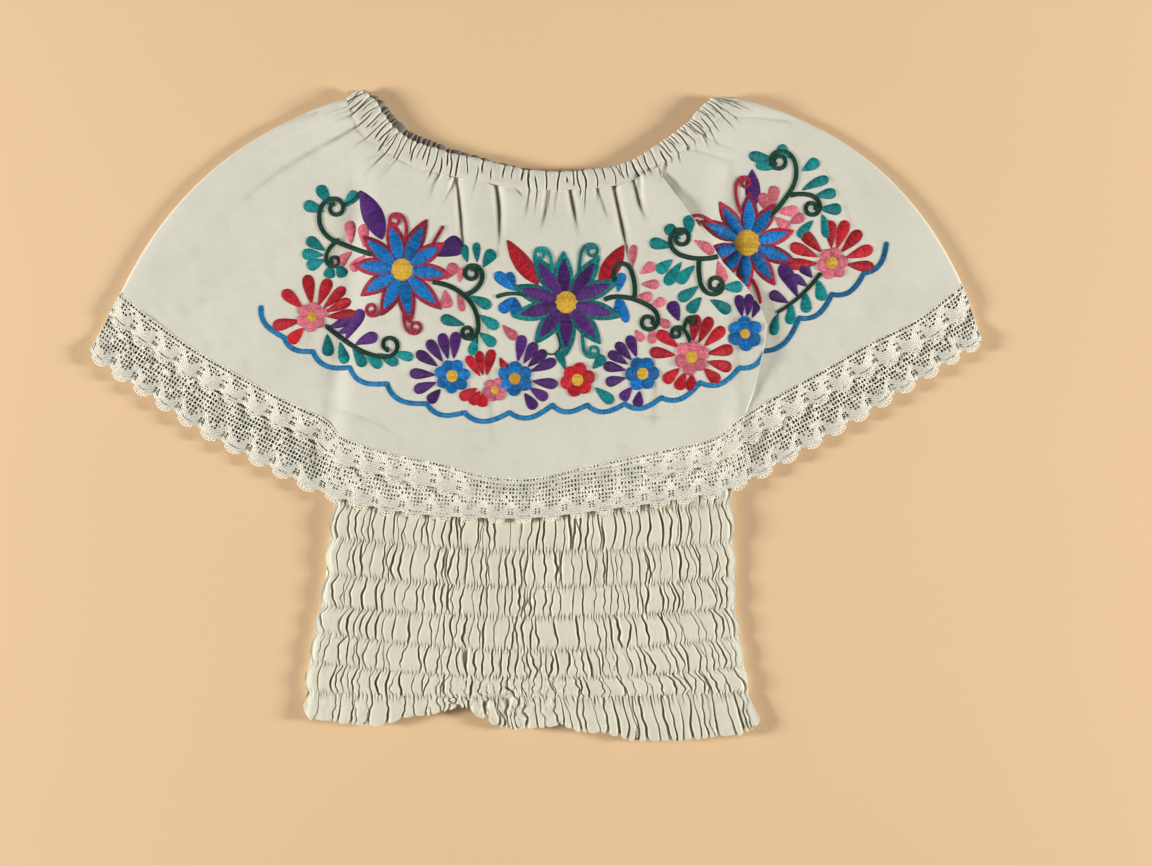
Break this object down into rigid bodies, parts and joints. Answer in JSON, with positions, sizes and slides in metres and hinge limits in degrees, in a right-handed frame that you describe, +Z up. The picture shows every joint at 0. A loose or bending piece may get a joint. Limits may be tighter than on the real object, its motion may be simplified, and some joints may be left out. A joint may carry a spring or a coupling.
{
  "type": "off-shoulder top",
  "caption": "Off-shoulder top laid flat: gathered neck casing, embroidered flounce with a tiered lace edge, and a bodice shirred with elastic rows.",
  "frame": {"origin": "on the surface the top lies on, under the middle of its bounding box", "axes": "+X across the garment to the right as seen from above its front, +Y towards the neck, +Z up off the surface"},
  "size_m": [0.7088, 0.522, 0.0136],
  "materials": {
    "cotton": "matte plain weave, unbleached",
    "shirred_cotton": "matte, gathered with elastic thread",
    "lace_thread": "matte cotton thread",
    "embroidery_thread": "satin stitches in many colours, soft sheen"
  },
  "bodies": {
    "root": {"flounce_back": "cotton", "lace_back": "lace_thread", "bodice_back": "shirred_cotton", "bodice_front": "shirred_cotton", "neck_casing_back": "cotton", "neck_casing_front": "cotton", "flounce_front": "cotton", "lace_lower_front": "lace_thread", "lace_upper_front": "lace_thread"}
  },
  "joints": []
}
